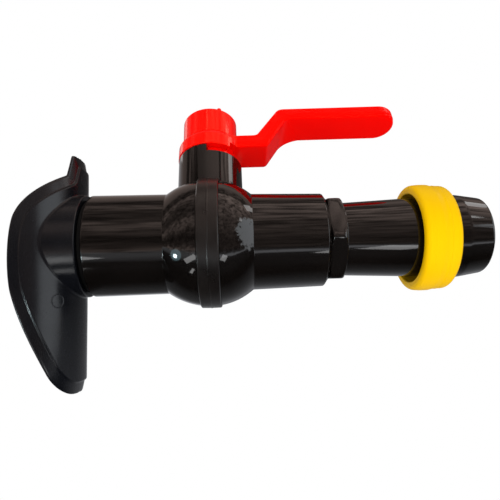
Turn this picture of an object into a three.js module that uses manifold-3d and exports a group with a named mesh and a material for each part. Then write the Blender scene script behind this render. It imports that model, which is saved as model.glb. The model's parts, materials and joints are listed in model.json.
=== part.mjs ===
// Saddle ball valve with a hose tail, in millimetres.
// Origin: where the main pipe's axis crosses the flow axis. +X runs along the flow, from the main
// pipe to the hose, and +Z runs up along the valve's stem.
import * as THREE from "three";
import { mergeVertices } from "three/addons/utils/BufferGeometryUtils.js";
import Module from "manifold-3d";

const wasm = await Module();
wasm.setup();

// Driving dimensions
const GAP = 0.3; // clearance between neighbouring pieces
const ROUND = 36; // sides of a turned piece
const BALL_X = 94.5; // main pipe axis to ball centre
const MAIN_PIPE_TURN = 20.1; // degrees about X, from the stem to the main pipe's axis

const PLATE_R = 31.8; // outside of the saddle plate
const PLATE_WALL = 2.8;
const BOSS_R = 25.3;
const BOSS_END = -60.15; // X values from here on are measured from the ball's centre
const NIPPLE_R = 20.2;
const NIPPLE_END = -45;
const SADDLE_BORE_R = 16.8;
const SEAL_INNER_R = 18;
const SEAL_OUTER_R = 23.5;
const SEAL_WALL = 1.6;

const INLET_END = -57.65;
const INLET_END_R = 25.15;
const INLET_ROOT_R = 24.75;
const SHELL_R = 31.35; // round casing over the ball
const INLET_SHELL = 33.6; // the casing's half length on each side
const OUTLET_SHELL = 31.8;
const OUTLET_ROOT_R = 23.8;
const OUTLET_END_R = 22.95;
const OUTLET_CHAMFER_START = 54.9;
const OUTLET_END = 56.4;
const OUTLET_RIM_R = 20.8;

const CAVITY_R = 24.5;
const CAVITY_HALF = 15.5;
const SEAT_POCKET_R = 19.5;
const SEAT_POCKET_END = 22.3;
const BORE_R = 14.5;
const SOCKET_R = 20.5; // inlet bore that takes the saddle's nipple
const SOCKET_FLOOR = -27;
const THREAD_SOCKET_R = 18.9;
const THREAD_FLOOR = 36;

const BAND_HALF = 5.2;
const BAND_R = 32.3;
const BAND_CHAMFER = 1.1;

const NECK_R = 17;
const NECK_TOP = 45.3;
const STEM_BORE_R = 9;
const STEM_POCKET_R = 11.6;
const STEM_POCKET_TOP = 28;
const STOP_TOP = 49.45; // top of the body's stop sector
const STOP_START = 176; // degrees about Z, counter-clockwise from +X
const STOP_END = 266;
const STOP_SLACK = 1.1;

const BALL_R = 22;
const BALL_SLOT_FLOOR = 17.6;
const BALL_SLOT_WIDTH = 6.6;
const BALL_SLOT_LENGTH = 16.6;
const SEAT_START = 15.95;
const SEAT_END = 19.6;
const SEAT_R = 19.2;
const SEAT_FACE_R = 22.3; // the ball's radius plus its running gap

const STEM_R = 8.7;
const STEM_GROOVE_R = 7;
const STEM_FLANGE_R = 11.2;
const STEM_FLANGE_BOTTOM = 24;
const STEM_FLANGE_TOP = 26.6;
const STEM_SHOULDER = 50;
const STEM_TOP = 62.8;
const STEM_SQUARE = 10;
const TONGUE_WIDTH = 6;
const TONGUE_LENGTH = 16;
const ORING_WIDTH = 2;
const ORING_HEIGHTS = [33, 40];

const HUB_R = 17.3;
const HUB_BOTTOM = 49.8;
const HUB_SHOULDER = 57.1;
const SKIRT_R = 13.4; // the skirt that meets the neck's stop, set in under the hub
const SKIRT_BOTTOM = NECK_TOP + 0.35;
const LIP_END = 50; // degrees either side of the lever where the hub's lower lip stops
const CAP_R = 14.9;
const CAP_BOTTOM = 60.4;
const CAP_TOP = 76;
const CAP_WALL = 1.8;
const BOSS_TOP = 70; // the hub's boss, inside the cap
const SCREW_SEAT = 64.2;
const SCREW_RECESS_R = 6.6;
const SCREW_R = 2;
const SCREW_HEAD_R = 4.6;
const SCREW_HEAD_TOP = 68.4;

const LEVER_WIDTH = 20.3;
const LEVER_THICK = 7.15;
const LEVER_LOW = 52.9; // underside of the lower flat
const LEVER_SHELF = 60.6; // top of the lower flat
const LEVER_HIGH = 71.5; // underside of the raised grip
const LEVER_TIP = 104.1;

const HEX_FLATS = 38.8;
const HEX_START = 56.7;
const HEX_END = 64.3;
const HEX_CORNER_ANGLE = 204.5; // degrees about X of one corner, from +Y towards +Z
const TAIL_ROOT_R = 18;
const TAIL_MAX_R = 20.3;
const TAIL_MAX_X = 120.8;
const TAIL_TIP_R = 18.55;
const TAIL_END = 132.5;
const TAIL_EDGE = 1.2;
const TAIL_BORE_R = 14.6;
const TAIL_THREAD_R = 18.6;
const TAIL_THREAD_START = 38.3;

const RING_START = 97.8;
const RING_END = 115;
const RING_R = 26.1;
const RING_BORE_R = 21.75;
const RING_DROP = 0.4; // how far the loose ring hangs below the flow axis

// Materials
const plastic = (color, roughness) =>
  new THREE.MeshStandardMaterial({ color, roughness, metalness: 0 });
const blackPlastic = () => plastic(0x14110f, 0.25);
const satinBlack = () => plastic(0x1c1b1a, 0.6);
const redPlastic = () => plastic(0xe81a0c, 0.35);
const yellowPlastic = () => plastic(0xf7cd00, 0.45);
const rubber = () => plastic(0x080808, 0.85);
const whitePlastic = () => plastic(0xe9e6df, 0.4);
const steel = () =>
  new THREE.MeshStandardMaterial({ color: 0xb9bcc0, roughness: 0.3, metalness: 1 });

// Solids
function solid(geometry) {
  const bare = geometry.index ? geometry.toNonIndexed() : geometry.clone();
  bare.deleteAttribute("normal");
  bare.deleteAttribute("uv");
  const merged = mergeVertices(bare, 1e-4);
  return new wasm.Manifold(
    new wasm.Mesh({
      numProp: 3,
      vertProperties: new Float32Array(merged.attributes.position.array),
      triVerts: new Uint32Array(merged.index.array),
    }),
  );
}

function geometryOf(manifold) {
  const mesh = manifold.getMesh();
  const geometry = new THREE.BufferGeometry();
  geometry.setAttribute("position", new THREE.BufferAttribute(mesh.vertProperties, 3));
  geometry.setIndex(new THREE.BufferAttribute(mesh.triVerts, 1));
  geometry.computeVertexNormals();
  return geometry;
}

// A closed profile of [along, radius] pairs, turned about X or Z. It runs forwards outside and back
// inside; one that starts and ends on the axis makes a solid piece.
function lathe(profile, sides = ROUND) {
  const isSolid = profile[0][1] === 0;
  const points = profile.map(([along, radius]) => new THREE.Vector2(radius, along));
  if (!isSolid) points.push(points[0].clone());
  return new THREE.LatheGeometry(points, sides);
}
const turnedX = (profile, sides) => solid(lathe(profile, sides).rotateZ(-Math.PI / 2));
const turnedZ = (profile, sides) => solid(lathe(profile, sides).rotateX(Math.PI / 2));
const rod = (from, to, radius) => [
  [from, 0],
  [from, radius],
  [to, radius],
  [to, 0],
];
const tube = (from, to, outer, inner) => [
  [from, outer],
  [to, outer],
  [to, inner],
  [from, inner],
];

function block(low, high) {
  const size = high.map((value, i) => value - low[i]);
  const centre = high.map((value, i) => (value + low[i]) / 2);
  return solid(new THREE.BoxGeometry(...size).translate(...centre));
}

// A sector of a tube about Z, from one angle to another in degrees.
function sector(bottom, top, outer, inner, start, end) {
  const from = THREE.MathUtils.degToRad(start);
  const to = THREE.MathUtils.degToRad(end);
  const shape = new THREE.Shape();
  shape.absarc(0, 0, outer, from, to, false);
  shape.absarc(0, 0, inner, to, from, true);
  const options = { depth: top - bottom, bevelEnabled: false, curveSegments: 24 };
  return solid(new THREE.ExtrudeGeometry(shape, options).translate(0, 0, bottom));
}

// Points on an ellipse about the X axis, as [along, radius], between two values of X.
function shellArc(halfLength, fromX, toX, steps = 10) {
  const start = Math.asin(fromX / halfLength);
  const end = Math.asin(toX / halfLength);
  return Array.from({ length: steps + 1 }, (_, i) => {
    const angle = start + ((end - start) * i) / steps;
    return [halfLength * Math.sin(angle), SHELL_R * Math.cos(angle)];
  });
}
const shellX = (halfLength, radius) => halfLength * Math.sqrt(1 - (radius / SHELL_R) ** 2);

function add(parent, name, shape, material) {
  const mesh = new THREE.Mesh(shape.isBufferGeometry ? shape : geometryOf(shape), material);
  mesh.name = name;
  parent.add(mesh);
}

// Saddle: a bent plate with a round boss and a nipple that enters the valve's inlet
const PLATE_EDGE = (() => {
  const edge = new THREE.Path(); // half the outline: degrees round the pipe, mm along it
  edge.moveTo(16.5, 44.3);
  edge.quadraticCurveTo(20, 44.1, 20.7, 41.8);
  edge.lineTo(25.8, 33.2);
  edge.bezierCurveTo(45, 28.2, 68.1, 20.8, 74.5, 10.4);
  edge.bezierCurveTo(79, 1.5, 78.2, -14, 74.6, -22.8);
  edge.bezierCurveTo(67.9, -36, 55.4, -48.9, 42.3, -60.6);
  edge.bezierCurveTo(34, -67.4, 20, -70.6, 9, -70.6);
  return edge;
})();

function bentPlate() {
  const rows = 30;
  const columns = 14;
  const edge = PLATE_EDGE.getSpacedPoints(rows);
  const plate = new THREE.BoxGeometry(2, rows, 1, columns, rows, 1);
  const position = plate.attributes.position;
  for (let i = 0; i < position.count; i += 1) {
    const row = edge[Math.round(rows / 2 - position.getY(i))];
    const angle = THREE.MathUtils.degToRad(position.getX(i) * row.x);
    const radius = PLATE_R - PLATE_WALL * (0.5 - position.getZ(i));
    position.setXYZ(i, radius * Math.cos(angle), radius * Math.sin(angle), row.y);
  }
  return solid(plate);
}

const turnToMainPipe = (manifold) => manifold.rotate([MAIN_PIPE_TURN, 0, 0]);
const fromBall = (manifold) => manifold.translate([BALL_X, 0, 0]);

function saddlePlate() {
  const midWall = PLATE_R - PLATE_WALL / 2;
  const boss = turnedX(rod(-BALL_X, BOSS_END, BOSS_R));
  const nipple = turnedX(rod(BOSS_END - 1, NIPPLE_END, NIPPLE_R));
  const pipeSpace = turnToMainPipe(turnedZ(rod(-90, 90, midWall)));
  const outlet = fromBall(boss.add(nipple)).subtract(pipeSpace);
  const bore = fromBall(turnedX(rod(-BALL_X, NIPPLE_END + 1, SADDLE_BORE_R)));
  return turnToMainPipe(bentPlate()).add(outlet).subtract(bore);
}

function saddleSeal() {
  const outer = PLATE_R - PLATE_WALL - GAP;
  const skin = turnedZ(tube(-40, 40, outer, outer - SEAL_WALL));
  const ring = turnedX(tube(0, outer + 1, SEAL_OUTER_R, SEAL_INNER_R));
  return turnToMainPipe(skin).intersect(ring);
}

// Valve casing: two moulded halves and the band that joins them
function casingOuter() {
  const inletJoin = -shellX(INLET_SHELL, INLET_ROOT_R);
  const outletJoin = shellX(OUTLET_SHELL, OUTLET_ROOT_R);
  return turnedX([
    [INLET_END, 0],
    [INLET_END, INLET_END_R],
    [inletJoin, INLET_ROOT_R],
    ...shellArc(INLET_SHELL, inletJoin, 0).slice(1),
    ...shellArc(OUTLET_SHELL, 0, outletJoin).slice(1),
    [OUTLET_CHAMFER_START, OUTLET_END_R],
    [OUTLET_END, OUTLET_RIM_R],
    [OUTLET_END, 0],
  ]);
}

function casingInner() {
  return turnedX([
    [INLET_END - 1, 0],
    [INLET_END - 1, SOCKET_R],
    [SOCKET_FLOOR, SOCKET_R],
    [SOCKET_FLOOR, BORE_R],
    [-SEAT_POCKET_END, BORE_R],
    [-SEAT_POCKET_END, SEAT_POCKET_R],
    [-CAVITY_HALF, SEAT_POCKET_R],
    [-CAVITY_HALF, CAVITY_R],
    [CAVITY_HALF, CAVITY_R],
    [CAVITY_HALF, SEAT_POCKET_R],
    [SEAT_POCKET_END, SEAT_POCKET_R],
    [SEAT_POCKET_END, BORE_R],
    [THREAD_FLOOR, BORE_R],
    [THREAD_FLOOR, THREAD_SOCKET_R],
    [OUTLET_END + 1, THREAD_SOCKET_R],
    [OUTLET_END + 1, 0],
  ]);
}

function neck() {
  const stop = sector(NECK_TOP - 1, STOP_TOP, NECK_R, STEM_BORE_R, STOP_START, STOP_END);
  return turnedZ(rod(10, NECK_TOP, NECK_R)).add(stop);
}

const stemSpace = () =>
  turnedZ([
    [5, 0],
    [5, STEM_POCKET_R],
    [STEM_POCKET_TOP, STEM_POCKET_R],
    [STEM_POCKET_TOP, STEM_BORE_R],
    [STOP_TOP + 1, STEM_BORE_R],
    [STOP_TOP + 1, 0],
  ]);

const sideOf = (from, to) => block([from, -60, -60], [to, 60, 80]);

function casingPieces() {
  const hollow = casingInner().add(stemSpace());
  const whole = casingOuter().add(neck()).subtract(hollow);
  const seam = BAND_HALF + GAP / 2;
  const bandRing = turnedX([
    [-BAND_HALF, 0],
    [-BAND_HALF, BAND_R - BAND_CHAMFER],
    [-BAND_HALF + BAND_CHAMFER, BAND_R],
    [BAND_HALF - BAND_CHAMFER, BAND_R],
    [BAND_HALF, BAND_R - BAND_CHAMFER],
    [BAND_HALF, 0],
  ]);
  const bandSpan = sideOf(GAP / 2 - BAND_HALF, BAND_HALF - GAP / 2);
  return {
    inlet: whole.intersect(sideOf(INLET_END - 1, -seam)),
    outlet: whole.intersect(sideOf(seam, OUTLET_END + 1)),
    band: bandRing.add(neck()).intersect(bandSpan).subtract(hollow),
  };
}

// Ball, seats and their rings
function ball() {
  const sphere = solid(new THREE.SphereGeometry(BALL_R, 32, 18).rotateX(Math.PI / 2));
  const bore = turnedX(rod(-BALL_R - 1, BALL_R + 1, BORE_R));
  const slot = block(
    [-BALL_SLOT_LENGTH / 2, -BALL_SLOT_WIDTH / 2, BALL_SLOT_FLOOR],
    [BALL_SLOT_LENGTH / 2, BALL_SLOT_WIDTH / 2, BALL_R + 1],
  );
  return sphere.subtract(bore).subtract(slot);
}

function seat(side) {
  const faceAt = (value) => Math.sqrt(SEAT_FACE_R ** 2 - value ** 2);
  const ring = turnedX([
    [SEAT_START, SEAT_R],
    [SEAT_END, SEAT_R],
    [SEAT_END, BORE_R],
    [faceAt(BORE_R), BORE_R],
    [SEAT_START, faceAt(SEAT_START)],
  ]);
  return side > 0 ? ring : ring.rotate([0, 180, 0]);
}

function seatRing(side) {
  const start = SEAT_END + GAP;
  const end = SEAT_POCKET_END - GAP;
  const [from, to] = side > 0 ? [start, end] : [-end, -start];
  return turnedX(roundedTube(from, to, SEAT_R - 0.2, SEAT_R - 2.6), 24);
}

// A ring of round section, with its corners cut, for a rubber ring.
function roundedTube(from, to, outer, inner) {
  const cut = Math.min(to - from, outer - inner) / 4;
  return [
    [from, outer - cut],
    [from + cut, outer],
    [to - cut, outer],
    [to, outer - cut],
    [to, inner + cut],
    [to - cut, inner],
    [from + cut, inner],
    [from, inner + cut],
  ];
}

// Stem: a tongue in the ball's slot, a flange under the neck, two ring grooves and a square top
function stem() {
  const profile = [
    [STEM_FLANGE_BOTTOM, 0],
    [STEM_FLANGE_BOTTOM, STEM_FLANGE_R],
    [STEM_FLANGE_TOP, STEM_FLANGE_R],
    [STEM_FLANGE_TOP, STEM_R],
  ];
  for (const height of ORING_HEIGHTS) {
    const half = ORING_WIDTH / 2 + GAP;
    profile.push([height - half, STEM_R], [height - half, STEM_GROOVE_R]);
    profile.push([height + half, STEM_GROOVE_R], [height + half, STEM_R]);
  }
  profile.push([STEM_SHOULDER - 0.4, STEM_R], [STEM_SHOULDER - 0.4, 0]);
  const half = STEM_SQUARE / 2;
  const square = block([-half, -half, STEM_SHOULDER - 1], [half, half, STEM_TOP]);
  const tongue = block(
    [-TONGUE_LENGTH / 2, -TONGUE_WIDTH / 2, BALL_SLOT_FLOOR + GAP],
    [TONGUE_LENGTH / 2, TONGUE_WIDTH / 2, STEM_FLANGE_BOTTOM + 1],
  );
  const screwHole = turnedZ(rod(50, STEM_TOP + 1, SCREW_R + GAP), 20);
  return turnedZ(profile).add(square).add(tongue).subtract(screwHole);
}

function stemRing(height) {
  const half = ORING_WIDTH / 2;
  const inner = STEM_GROOVE_R + 0.2;
  return turnedZ(roundedTube(height - half, height + half, STEM_BORE_R - 0.15, inner), 24);
}

const stemWasher = () =>
  turnedZ(
    tube(STEM_FLANGE_TOP + 0.2, STEM_POCKET_TOP - 0.2, STEM_FLANGE_R, STEM_R + GAP),
    36,
  );

// Handle: a hub that drops over the neck's stop, a boss under the cap, and a cranked lever
function leverPlate() {
  const side = new THREE.Shape();
  side.moveTo(0, LEVER_LOW);
  side.lineTo(30, LEVER_LOW);
  side.lineTo(31.6, LEVER_LOW + 1.2);
  side.lineTo(38.3, LEVER_HIGH - 6.9);
  side.quadraticCurveTo(42.4, LEVER_HIGH - 1.6, 51, LEVER_HIGH);
  side.lineTo(LEVER_TIP, LEVER_HIGH);
  side.lineTo(LEVER_TIP, LEVER_HIGH + LEVER_THICK);
  side.lineTo(41.3, LEVER_HIGH + LEVER_THICK);
  side.quadraticCurveTo(38.6, LEVER_HIGH + LEVER_THICK, 37.1, LEVER_HIGH + 5.4);
  side.lineTo(26.2, LEVER_SHELF + 1);
  side.quadraticCurveTo(25.2, LEVER_SHELF, 23.8, LEVER_SHELF);
  side.lineTo(0, LEVER_SHELF);
  const half = LEVER_WIDTH / 2;
  const options = { depth: LEVER_WIDTH, bevelEnabled: false, curveSegments: 6 };
  const strip = new THREE.ExtrudeGeometry(side, options).translate(0, 0, -half);
  const outline = new THREE.Shape();
  outline.moveTo(-1, -half);
  outline.lineTo(LEVER_TIP - half, -half);
  outline.absarc(LEVER_TIP - half, 0, half, -Math.PI / 2, Math.PI / 2, false);
  outline.lineTo(-1, half);
  const plan = new THREE.ExtrudeGeometry(outline, {
    depth: 60,
    bevelEnabled: false,
    curveSegments: 20,
  });
  return solid(strip.rotateX(Math.PI / 2)).intersect(solid(plan.translate(0, 0, 40)));
}

function handle() {
  const bossR = CAP_R - CAP_WALL - GAP;
  const hub = turnedZ([
    [HUB_BOTTOM, 0],
    [HUB_BOTTOM, HUB_R],
    [HUB_SHOULDER, HUB_R - 0.1],
    [HUB_SHOULDER + 1.9, HUB_R - 0.9],
    [CAP_BOTTOM - GAP, CAP_R + 0.1],
    [CAP_BOTTOM - GAP, bossR],
    [BOSS_TOP, bossR],
    [BOSS_TOP, 0],
  ]);
  const lipGap = sector(HUB_BOTTOM - 1, LEVER_LOW, HUB_R + 1, SKIRT_R - 0.5, -LIP_END, LIP_END);
  const skirt = sector(
    SKIRT_BOTTOM,
    LEVER_LOW + 0.5,
    SKIRT_R,
    STEM_R + GAP,
    STOP_END + STOP_SLACK - 360,
    STOP_START - 90 - STOP_SLACK,
  );
  const hole = STEM_SQUARE / 2 + GAP;
  const squareHole = block([-hole, -hole, HUB_BOTTOM - 1], [hole, hole, SCREW_SEAT - 1]);
  const recess = turnedZ(rod(SCREW_SEAT, BOSS_TOP + 1, SCREW_RECESS_R), 32);
  const screwHole = turnedZ(rod(SCREW_SEAT - 2, SCREW_SEAT + 1, SCREW_R + GAP), 20);
  const capSpace = turnedZ(tube(CAP_BOTTOM - GAP, CAP_TOP, 60, bossR));
  const lever = leverPlate().subtract(
    turnedZ(tube(CAP_BOTTOM - GAP, CAP_TOP + 1, CAP_R + GAP, 1)),
  );
  return hub
    .subtract(capSpace)
    .subtract(lipGap)
    .add(skirt)
    .add(lever)
    .subtract(squareHole)
    .subtract(recess)
    .subtract(screwHole);
}

// A cup, closed at the top
const handleCap = () =>
  turnedZ([
    [CAP_TOP - 2.2, 0],
    [CAP_TOP - 2.2, CAP_R - CAP_WALL],
    [CAP_BOTTOM, CAP_R - CAP_WALL],
    [CAP_BOTTOM, CAP_R],
    [CAP_TOP - 1.2, CAP_R],
    [CAP_TOP - 0.3, CAP_R - 0.5],
    [CAP_TOP, CAP_R - 1.4],
    [CAP_TOP, 0],
  ]);

const screwWasher = () =>
  turnedZ(tube(SCREW_SEAT + 0.2, SCREW_SEAT + 1.2, SCREW_RECESS_R - 0.5, SCREW_R + GAP), 32);

const handleScrew = () =>
  turnedZ(
    [
      [52, 0],
      [52, SCREW_R],
      [SCREW_SEAT + 1.4, SCREW_R],
      [SCREW_SEAT + 1.4, SCREW_HEAD_R],
      [SCREW_HEAD_TOP - 0.8, SCREW_HEAD_R],
      [SCREW_HEAD_TOP, SCREW_HEAD_R - 1.4],
      [SCREW_HEAD_TOP, 0],
    ],
    28,
  );

// Hose tail: threaded end, hexagon and tapered barrel
function hexagon() {
  const corner = HEX_FLATS / Math.sqrt(3);
  const prism = new THREE.CylinderGeometry(corner, corner, HEX_END - HEX_START, 6);
  const turn = THREE.MathUtils.degToRad(HEX_CORNER_ANGLE - 90);
  const placed = prism
    .rotateZ(-Math.PI / 2)
    .rotateX(turn)
    .translate((HEX_START + HEX_END) / 2, 0, 0);
  const chamfer = turnedX([
    [HEX_START - 1, 0],
    [HEX_START, corner - 1],
    [HEX_START + 0.6, corner - 0.2],
    [HEX_END - 1.6, corner - 0.2],
    [HEX_END, corner - 2.8],
    [HEX_END + 1, 0],
  ]);
  return solid(placed).intersect(chamfer);
}

function hoseTail() {
  const barrel = turnedX([
    [TAIL_THREAD_START, 0],
    [TAIL_THREAD_START, TAIL_THREAD_R - 1],
    [TAIL_THREAD_START + 1.2, TAIL_THREAD_R],
    [HEX_START, TAIL_THREAD_R],
    [HEX_START + 1, TAIL_ROOT_R],
    [HEX_END, TAIL_ROOT_R],
    [TAIL_MAX_X - 1.5, TAIL_MAX_R - 0.1],
    [TAIL_MAX_X, TAIL_MAX_R],
    [TAIL_MAX_X + 1.5, TAIL_MAX_R - 0.2],
    [TAIL_END - TAIL_EDGE, TAIL_TIP_R],
    [TAIL_END - 0.3, TAIL_TIP_R - 0.7],
    [TAIL_END, TAIL_TIP_R - 1.4],
    [TAIL_END, 0],
  ]);
  const bore = turnedX(rod(TAIL_THREAD_START - 1, TAIL_END + 1, TAIL_BORE_R));
  return barrel.add(hexagon()).subtract(bore);
}

const tailGasket = () =>
  turnedX(tube(THREAD_FLOOR + GAP, TAIL_THREAD_START - GAP, TAIL_THREAD_R - 0.4, TAIL_BORE_R + 0.4));

const inletRing = () =>
  turnedX(roundedTube(BOSS_END + 0.2, INLET_END - 0.2, 23.9, NIPPLE_R + GAP));

// Loose ring that locks the hose on the tail
const lockRing = () =>
  turnedX([
    [RING_START, RING_R - 2.6],
    [RING_START + 0.6, RING_R - 1.1],
    [RING_START + 2, RING_R - 0.2],
    [RING_START + 4, RING_R],
    [RING_START + 8, RING_R],
    [RING_START + 10, RING_R - 0.6],
    [RING_END - 2.2, RING_R - 0.8],
    [RING_END - 0.7, RING_R - 1.6],
    [RING_END, RING_R - 3.2],
    [RING_END, RING_BORE_R - 0.4],
    [RING_START + 3, RING_BORE_R - 0.1],
    [RING_START, RING_BORE_R],
  ]).translate([0, 0, -RING_DROP]);

// The assembly
const saddle = new THREE.Group();
add(saddle, "saddle_plate", saddlePlate(), blackPlastic());
add(saddle, "saddle_seal", saddleSeal(), rubber());

const valve = new THREE.Group();
valve.position.x = BALL_X;
const casing = casingPieces();
add(valve, "inlet_ring", inletRing(), rubber());
add(valve, "body_inlet_half", casing.inlet, blackPlastic());
add(valve, "body_outlet_half", casing.outlet, blackPlastic());
add(valve, "weld_band", casing.band, satinBlack());
for (const [name, side] of [["inlet", -1], ["outlet", 1]]) {
  add(valve, `seat_${name}`, seat(side), whitePlastic());
  add(valve, `seat_ring_${name}`, seatRing(side), rubber());
}
add(valve, "ball", ball(), whitePlastic());
add(valve, "stem", stem(), blackPlastic());
add(valve, "stem_ring_lower", stemRing(ORING_HEIGHTS[0]), rubber());
add(valve, "stem_ring_upper", stemRing(ORING_HEIGHTS[1]), rubber());
add(valve, "stem_washer", stemWasher(), whitePlastic());
add(valve, "handle", handle(), redPlastic());
add(valve, "handle_cap", handleCap(), redPlastic());
add(valve, "handle_screw", handleScrew(), steel());
add(valve, "screw_washer", screwWasher(), steel());
add(valve, "hose_tail", hoseTail(), blackPlastic());
add(valve, "tail_gasket", tailGasket(), rubber());
add(valve, "lock_ring", lockRing(), yellowPlastic());

const group = new THREE.Group();
group.add(saddle, valve);
export default group;
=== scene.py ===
"""Saddle ball valve with a hose tail: the looks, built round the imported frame.

Shapes are worked out in millimetres from the ball's centre, along the frame's axes, and put into
metres as each mesh is made.
"""
import json
import math
from functools import partial
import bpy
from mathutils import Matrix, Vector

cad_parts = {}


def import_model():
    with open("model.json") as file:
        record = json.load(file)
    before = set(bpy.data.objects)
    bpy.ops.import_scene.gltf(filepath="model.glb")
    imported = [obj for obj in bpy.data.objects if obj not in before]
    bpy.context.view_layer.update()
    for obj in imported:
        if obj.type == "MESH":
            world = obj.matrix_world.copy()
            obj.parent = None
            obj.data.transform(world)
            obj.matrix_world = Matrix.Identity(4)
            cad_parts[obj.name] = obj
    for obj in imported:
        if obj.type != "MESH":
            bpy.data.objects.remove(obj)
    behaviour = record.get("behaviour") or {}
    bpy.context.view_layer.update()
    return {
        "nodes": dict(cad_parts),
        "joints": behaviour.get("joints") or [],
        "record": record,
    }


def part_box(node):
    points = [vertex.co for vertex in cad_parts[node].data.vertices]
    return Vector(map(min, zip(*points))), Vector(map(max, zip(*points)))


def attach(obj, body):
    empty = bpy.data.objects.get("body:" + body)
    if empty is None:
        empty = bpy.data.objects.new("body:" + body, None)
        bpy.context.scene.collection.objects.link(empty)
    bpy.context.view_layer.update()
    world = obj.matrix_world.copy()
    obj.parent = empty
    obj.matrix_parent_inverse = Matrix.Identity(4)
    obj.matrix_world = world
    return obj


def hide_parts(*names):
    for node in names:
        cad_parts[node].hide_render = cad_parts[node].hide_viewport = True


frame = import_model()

from types import SimpleNamespace

import bmesh
import bpy
from mathutils import Matrix, Vector
from mathutils.kdtree import KDTree

# Places taken from the frame
MM = 0.001
BALL = Vector(frame["joints"][0]["pos_m"])
MAIN_PIPE_AXIS = Vector(
    next(m["axis"] for m in frame["record"]["mounts"] if m["name"] == "main_pipe")
)
MAIN_PIPE_TURN = math.atan2(-MAIN_PIPE_AXIS.y, MAIN_PIPE_AXIS.z)


def cad(node):
    """A node's box, in millimetres from the ball's centre."""
    low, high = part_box(node)
    return (low - BALL) / MM, (high - BALL) / MM


INLET_END = cad("body_inlet_half")[0].x
OUTLET_END = cad("body_outlet_half")[1].x
STOP_TOP = cad("body_inlet_half")[1].z
BAND_HALF = cad("weld_band")[1].x
BAND_R = -cad("weld_band")[0].z
HUB_BOTTOM_R = -cad("handle")[0].x
SKIRT_BOTTOM = cad("handle")[0].z
LEVER_TIP = cad("handle")[1].x
LEVER_TOP = cad("handle")[1].z
CAP_LOW, CAP_HIGH = cad("handle_cap")
TAIL_START = cad("hose_tail")[0].x
TAIL_END = cad("hose_tail")[1].x
RING_LOW, RING_HIGH = cad("lock_ring")
NIPPLE_END = cad("saddle_plate")[1].x
MAIN_X = -BALL.x / MM

# Shapes, in millimetres: in general
SIDES = 160
GAP = 0.3
SEAM_GAP = 0.15
FAR = 150

# The saddle
PLATE_R = 31.8
PLATE_WALL = 2.8
PLATE_BEVEL = 5.6
PLATE_BEVEL_DROP = 1.9
PLATE_STEP = 0.8
BOSS_R = 25.3
BOSS_END = INLET_END - 2.5
BOSS_FILLET = 0.8
BOSS_FOOT_R = BOSS_R + BOSS_FILLET
PLATE_INNER_R = PLATE_R - PLATE_WALL
NIPPLE_R = 20.2
SADDLE_BORE_R = 16.8
SADDLE_SIDES = 288
SADDLE_MARK_R = 3.4
SEAL_INNER_R = 18
SEAL_OUTER_R = 23.5
SEAL_WALL = 1.6

# The casing
SHELL_R = 31.35
INLET_SHELL = 33.6
OUTLET_SHELL = 31.8
INLET_END_R = 25.15
INLET_ROOT_R = 24.75
OUTLET_ROOT_R = 23.8
OUTLET_END_R = 22.95
OUTLET_RIM_R = 20.8
CAVITY_R = 24.5
NECK_R = 17
STRIP_HALF = 5.9
CAVITY_HALF = 15.5
SEAT_POCKET_R = 19.5
SEAT_POCKET_END = 22.3
BORE_R = 14.5
SOCKET_R = 20.5
SOCKET_FLOOR = -27
THREAD_R = 18.9
THREAD_FLOOR = 36
NECK_TOP = 45.3
STEM_BORE_R = 9
STEM_FLANGE_R = STEM_BORE_R + 2.6
STEM_FLANGE_TOP = 28
STOP_START = 176
STOP_END = 266
STOP_SLACK = 1.1

# The ball, its seats and the handle
BALL_R = 22
SLOT_HALF = Vector((8.3, 3.3))
SEAT_INNER_R = 14.6
SEAT_OUTER_R = 19.2
SEAT_FRONT = 15.95
SEAT_BACK = 19.6
SKIRT_R = 13.4
HUB_BOTTOM = 49.8
HUB_SHOULDER = 57.1
LIP_END = 50
LEVER_HALF = 10.15
LEVER_THICK = 7.15
LEVER_LOW = 52.9
LEVER_SHELF = 60.6
LEVER_HIGH = LEVER_TOP - LEVER_THICK
HUB_SHINE_R = 17.2
SCREW_HOLE_R = 2.3
SCREW_POCKET_R = 6.6
SCREW_POCKET_FLOOR = 64.2
STEM_SQUARE_HALF = 5.3
STEM_SQUARE_TOP = 63.2
CAP_BOSS_TOP = 70
TIP_STEPS = 18
LID_STEPS = 8

# The underside's upper bend on each side of the lever: where it starts, what it leans towards
# and where it ends, each as (distance from the stem, drop below the grip)
GUSSET_BEND = [(38.3, 6.9), (42.4, 1.6), (51, 0)]
CRISP_BEND = [(41.0, 2.4), (42.3, 0.6), (44.2, 0)]

# The hose tail
HEX_FLATS = 38.8
HEX_START = 56.7
HEX_END = 64.3
HEX_CORNER_ANGLE = math.radians(204.5)
TAIL_ROOT_R = 18
TAIL_THREAD_R = TAIL_ROOT_R + 0.6
TAIL_MAX_R = 20.3
TAIL_MAX_X = 120.8
TAIL_TIP_R = 18.55
TAIL_BORE_R = 14.6

# The camera, from the ball's centre
CAMERA_PLACE = Vector((11.77, -208.54, -113.13))
CAMERA_YAW = math.radians(-0.251)
CAMERA_PITCH = math.radians(27.457)
CAMERA_ROLL = math.radians(-1.545)
SENSOR = 36
LENS = 34.163
SHIFT_X = 0.035
SHIFT_Y = 0.0018
FLOOR_Z = -0.32


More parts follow.
